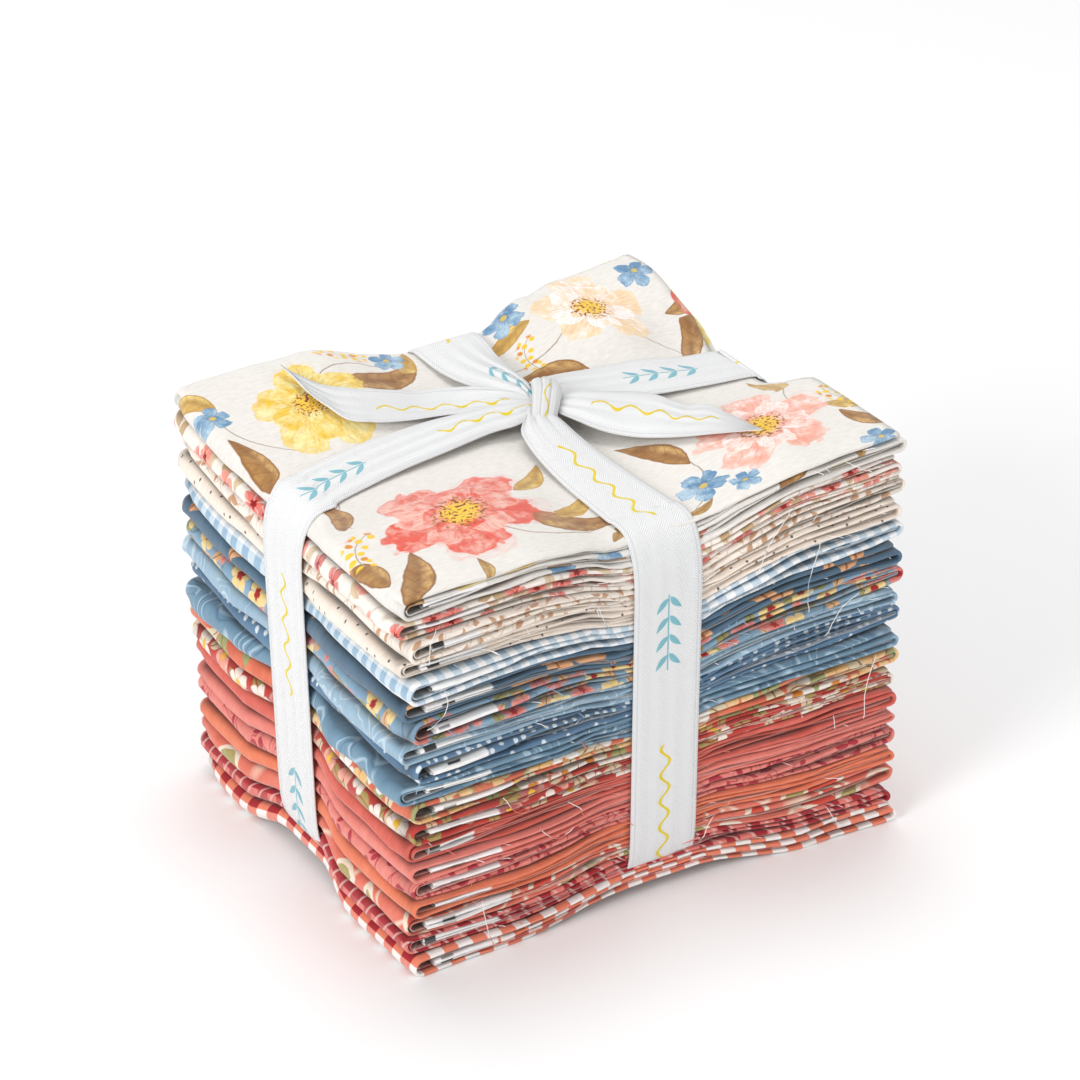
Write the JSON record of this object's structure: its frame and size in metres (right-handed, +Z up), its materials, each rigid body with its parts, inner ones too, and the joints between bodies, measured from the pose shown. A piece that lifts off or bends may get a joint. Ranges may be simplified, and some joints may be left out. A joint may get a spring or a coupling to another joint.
{
  "type": "fat quarter bundle",
  "caption": "Stack of letter-folded quilting cotton fat quarters in prints, tied both ways with one length of twill tape knotted on top.",
  "frame": {"origin": "on the table, under the middle of the bundle's bounding box", "axes": "+X runs along the long side of the folded pieces, away from their large folds; +Y runs along the short side, from one cut edge to the other; +Z is up through the knot"},
  "size_m": [0.1912, 0.1598, 0.1528],
  "materials": {
    "cotton_red_gingham": "matt woven cotton, red, orange and white checks",
    "cotton_dark_red_plaid": "matt woven cotton, dark red and pink plaid",
    "cotton_coral_paisley": "matt woven cotton, coral with cream and olive scrolls",
    "cotton_orange_coral": "matt woven cotton, orange coral, plain",
    "cotton_pink_sprig": "matt woven cotton, pink with dark red sprigs",
    "cotton_pink_coral": "matt woven cotton, pink coral, plain",
    "cotton_coral_red": "matt woven cotton, coral red with a white selvedge",
    "cotton_red_floral": "matt woven cotton, red with small flowers",
    "cotton_coral_bouquet": "matt woven cotton, coral with white, orange and green flowers",
    "cotton_blue_scroll": "matt woven cotton, blue with large scrolls in blue",
    "cotton_blue_dot": "matt woven cotton, blue with small dots and a white selvedge",
    "cotton_pale_blue": "matt woven cotton, pale blue with a faint print",
    "cotton_blue_garden": "matt woven cotton, blue with yellow, red and olive flowers",
    "cotton_slate_blue": "matt woven cotton, slate blue with orange leaves",
    "cotton_blue_gingham": "matt woven cotton, small pale blue and white checks",
    "cotton_cream_speck": "matt woven cotton, beige with tiny dark specks",
    "cotton_cream_tan": "matt woven cotton, cream with a small tan print",
    "cotton_cream_berry": "matt woven cotton, cream with red berries and tan leaves",
    "cotton_cream_floral": "matt woven cotton, cream with large watercolour flowers",
    "twill_tape": "matt white cotton twill tape"
  },
  "bodies": {
    "root": {"fat_quarter_01_red_gingham": "cotton_red_gingham", "fat_quarter_02_dark_red_plaid": "cotton_dark_red_plaid", "fat_quarter_03_coral_paisley": "cotton_coral_paisley", "fat_quarter_04_orange_coral": "cotton_orange_coral", "fat_quarter_05_pink_sprig": "cotton_pink_sprig", "fat_quarter_06_pink_coral": "cotton_pink_coral", "fat_quarter_07_coral_red": "cotton_coral_red", "fat_quarter_08_red_floral": "cotton_red_floral", "fat_quarter_09_coral_bouquet": "cotton_coral_bouquet", "fat_quarter_10_blue_scroll": "cotton_blue_scroll", "fat_quarter_11_blue_dot": "cotton_blue_dot", "fat_quarter_12_pale_blue": "cotton_pale_blue", "fat_quarter_13_blue_garden": "cotton_blue_garden", "fat_quarter_14_slate_blue": "cotton_slate_blue", "fat_quarter_15_blue_gingham": "cotton_blue_gingham", "fat_quarter_16_cream_speck": "cotton_cream_speck", "fat_quarter_17_cream_tan": "cotton_cream_tan", "fat_quarter_18_cream_berry": "cotton_cream_berry", "fat_quarter_19_cream_floral": "cotton_cream_floral", "ribbon": "twill_tape"}
  },
  "joints": []
}
